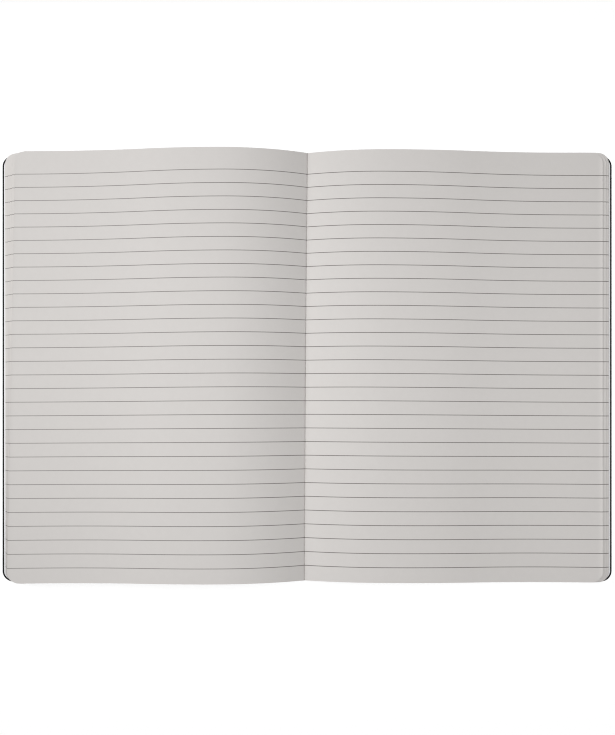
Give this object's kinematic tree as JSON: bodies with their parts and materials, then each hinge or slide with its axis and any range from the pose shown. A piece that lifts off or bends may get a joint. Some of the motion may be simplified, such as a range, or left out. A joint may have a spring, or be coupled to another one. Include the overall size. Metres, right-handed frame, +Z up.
{
  "type": "open composition notebook",
  "caption": "Ruled composition notebook lying open, its sewn pages arching from the gutter, on two dark card covers joined by a cloth spine tape.",
  "frame": {"origin": "under the middle of the spine, halfway from head to tail, on the surface that the open notebook lies on", "axes": "+X from the front cover (left) to the back cover (right) across both pages, +Y from the tail (bottom) to the head (top) of the pages, +Z up out of the open pages"},
  "size_m": [0.362, 0.254, 0.0143],
  "materials": {
    "paper": "uncoated, ruled",
    "cover_board": "satin, fine leather grain outside and white paper inside",
    "spine_cloth": "woven, matte",
    "thread": "twisted cotton"
  },
  "bodies": {
    "pages": {"page_block": "paper", "spine_tape": "spine_cloth", "binding_thread": "thread"},
    "front_cover": {"front_cover": "cover_board"},
    "back_cover": {"back_cover": "cover_board"}
  },
  "joints": [
    {"name": "front_cover_hinge", "type": "hinge", "parent": "pages", "child": "front_cover", "pos_m": [-0.005, 0, 0.0003], "axis": [0, -1, 0], "range_deg": [0, 90], "deforming": ["spine_tape"]},
    {"name": "back_cover_hinge", "type": "hinge", "parent": "pages", "child": "back_cover", "pos_m": [0.005, 0, 0.0003], "axis": [0, 1, 0], "range_deg": [0, 90], "deforming": ["spine_tape"]}
  ]
}
